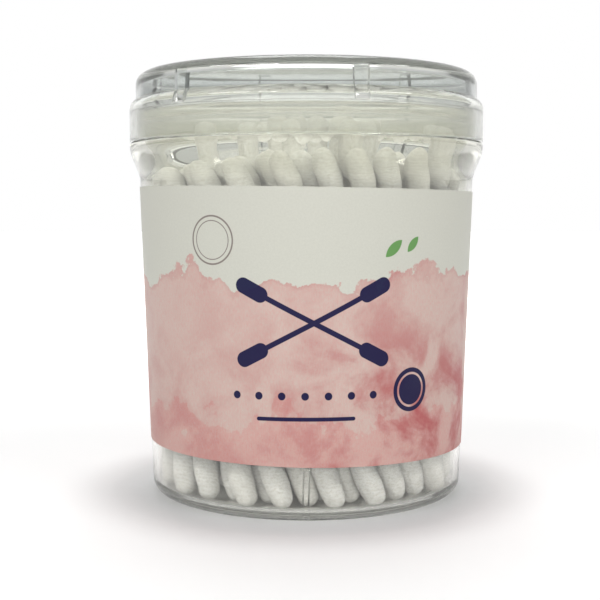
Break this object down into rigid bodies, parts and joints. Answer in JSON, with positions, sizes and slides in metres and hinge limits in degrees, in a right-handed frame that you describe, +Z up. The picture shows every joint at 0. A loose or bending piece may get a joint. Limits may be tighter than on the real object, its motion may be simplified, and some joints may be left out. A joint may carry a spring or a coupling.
{
  "type": "cotton swab tub",
  "caption": "Clear round plastic tub with a lift-off stepped lid and a wrap-round label, filled with upright cotton swabs.",
  "frame": {"origin": "centre of the standing ring, in the plane the tub stands on", "axes": "+Z up along the tub's axis, -Y towards the front of the label, +X to the right as the front is looked at"},
  "size_m": [0.075, 0.075, 0.0883],
  "materials": {
    "clear_tub": "clear gloss polystyrene",
    "clear_lid": "clear gloss polystyrene",
    "label_film": "satin printed label, pale grey above and pink wash below",
    "paper_stick": "smooth rolled paper",
    "cotton": "wound cotton wool"
  },
  "bodies": {
    "tub": {"tub": "clear_tub", "label": "label_film", "swab_sticks_1": "paper_stick", "swab_sticks_2": "paper_stick", "swab_sticks_3": "paper_stick", "swab_sticks_4": "paper_stick", "swab_sticks_5": "paper_stick", "swab_sticks_6": "paper_stick", "lower_cotton_1": "cotton", "lower_cotton_2": "cotton", "lower_cotton_3": "cotton", "lower_cotton_4": "cotton", "lower_cotton_5": "cotton", "lower_cotton_6": "cotton", "upper_cotton_1": "cotton", "upper_cotton_2": "cotton", "upper_cotton_3": "cotton", "upper_cotton_4": "cotton", "upper_cotton_5": "cotton", "upper_cotton_6": "cotton"},
    "lid": {"lid": "clear_lid"}
  },
  "joints": [
    {"name": "lid_lift", "type": "slide", "parent": "tub", "child": "lid", "axis": [0, 0, 1], "range_m": [0, 0.04]}
  ]
}
